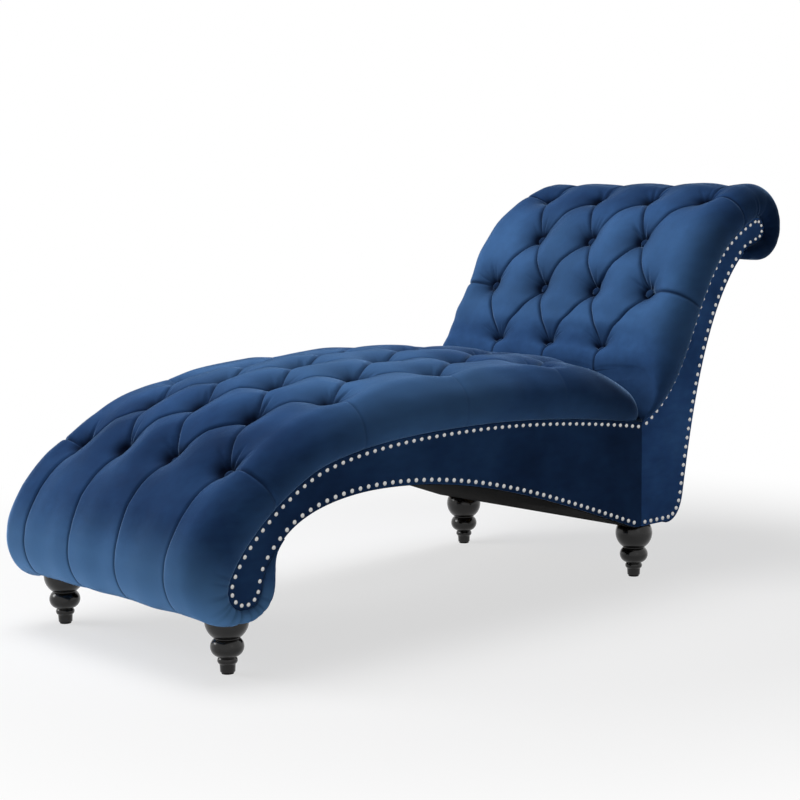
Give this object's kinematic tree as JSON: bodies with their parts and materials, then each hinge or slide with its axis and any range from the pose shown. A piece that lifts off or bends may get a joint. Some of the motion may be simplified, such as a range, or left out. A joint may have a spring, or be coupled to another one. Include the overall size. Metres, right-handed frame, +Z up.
{
  "type": "chaise longue",
  "caption": "Deep-buttoned velvet chaise longue for one person to recline on, with a scrolled toe, a raised scrolled back, flat nail-trimmed sides and turned feet.",
  "frame": {"origin": "on the floor, under the middle of the whole chaise", "axes": "+Z up, +Y along the chaise from the toe roll to the head roll, +X across it"},
  "size_m": [0.6522, 1.6599, 0.8457],
  "materials": {
    "velvet": "deep blue velvet pile",
    "button_velvet": "velvet over a shell",
    "foam": "open-cell foam",
    "hessian": "woven",
    "cambric": "matte black cloth",
    "frame_wood": "planed, unfinished",
    "spring_steel": "drawn wire",
    "fixing_steel": "zinc plated",
    "nickel": "polished nickel",
    "black_lacquer": "gloss black lacquer",
    "glide": "moulded"
  },
  "bodies": {
    "root": {"back_board_left": "frame_wood", "back_board_right": "frame_wood", "back_buttons": "button_velvet", "back_cover": "velvet", "back_deck_cloth": "hessian", "back_facing_left": "velvet", "back_facing_right": "velvet", "back_foam": "foam", "back_spring_clips": "spring_steel", "back_springs": "spring_steel", "dust_cover": "cambric", "foot_front_left": "black_lacquer", "foot_front_right": "black_lacquer", "foot_glides": "glide", "foot_rear_left": "black_lacquer", "foot_rear_right": "black_lacquer", "foot_studs": "fixing_steel", "front_stretcher": "frame_wood", "head_core": "frame_wood", "insert_nuts": "fixing_steel", "lumbar_rail": "frame_wood", "middle_stretcher": "frame_wood", "nailheads_left": "nickel", "nailheads_right": "nickel", "outside_back": "velvet", "rail_screws": "fixing_steel", "rear_rail": "frame_wood", "rear_stretcher": "frame_wood", "seat_back_rail": "frame_wood", "seat_board_left": "frame_wood", "seat_board_right": "frame_wood", "seat_buttons": "button_velvet", "seat_cover": "velvet", "seat_deck_cloth": "hessian", "seat_facing_left": "velvet", "seat_facing_right": "velvet", "seat_foam": "foam", "seat_spring_clips": "spring_steel", "seat_springs": "spring_steel", "shoulder_rail": "frame_wood", "splice_plate_left": "frame_wood", "splice_plate_right": "frame_wood", "splice_screws": "fixing_steel", "toe_core": "frame_wood"}
  },
  "joints": []
}
